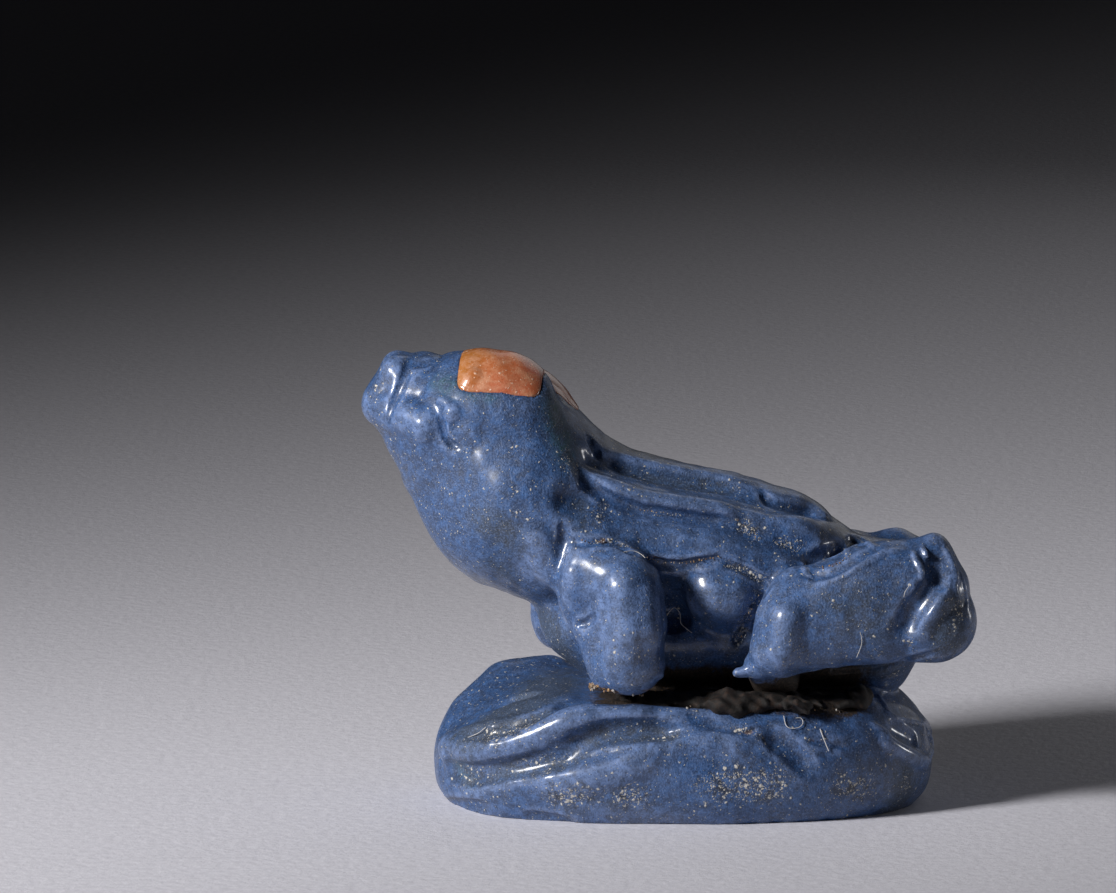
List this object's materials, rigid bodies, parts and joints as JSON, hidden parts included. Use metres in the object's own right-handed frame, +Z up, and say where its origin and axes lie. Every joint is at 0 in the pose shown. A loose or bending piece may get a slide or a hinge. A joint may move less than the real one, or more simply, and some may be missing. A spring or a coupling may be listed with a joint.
{
  "type": "frog amulet",
  "caption": "Miniature glass amulet of a squatting frog with raised head, fused to an oval pad it stands on, with a coloured glass bead let into the head for each eye.",
  "frame": {"origin": "under the middle of the amulet's box, on the surface that the pad stands on", "axes": "+Z up, -X towards the frog's snout, -Y towards the frog's left side"},
  "size_m": [0.011, 0.006, 0.0084],
  "materials": {
    "blue_glass": "opaque mid-blue glass worked hot, softly glossy, with brown earth and pale specks in the hollows",
    "orange_glass": "opaque orange-red glass, glossy, with fine pale specks"
  },
  "bodies": {
    "root": {"frog_and_pad": "blue_glass", "left_eye": "orange_glass", "right_eye": "orange_glass"}
  },
  "joints": []
}
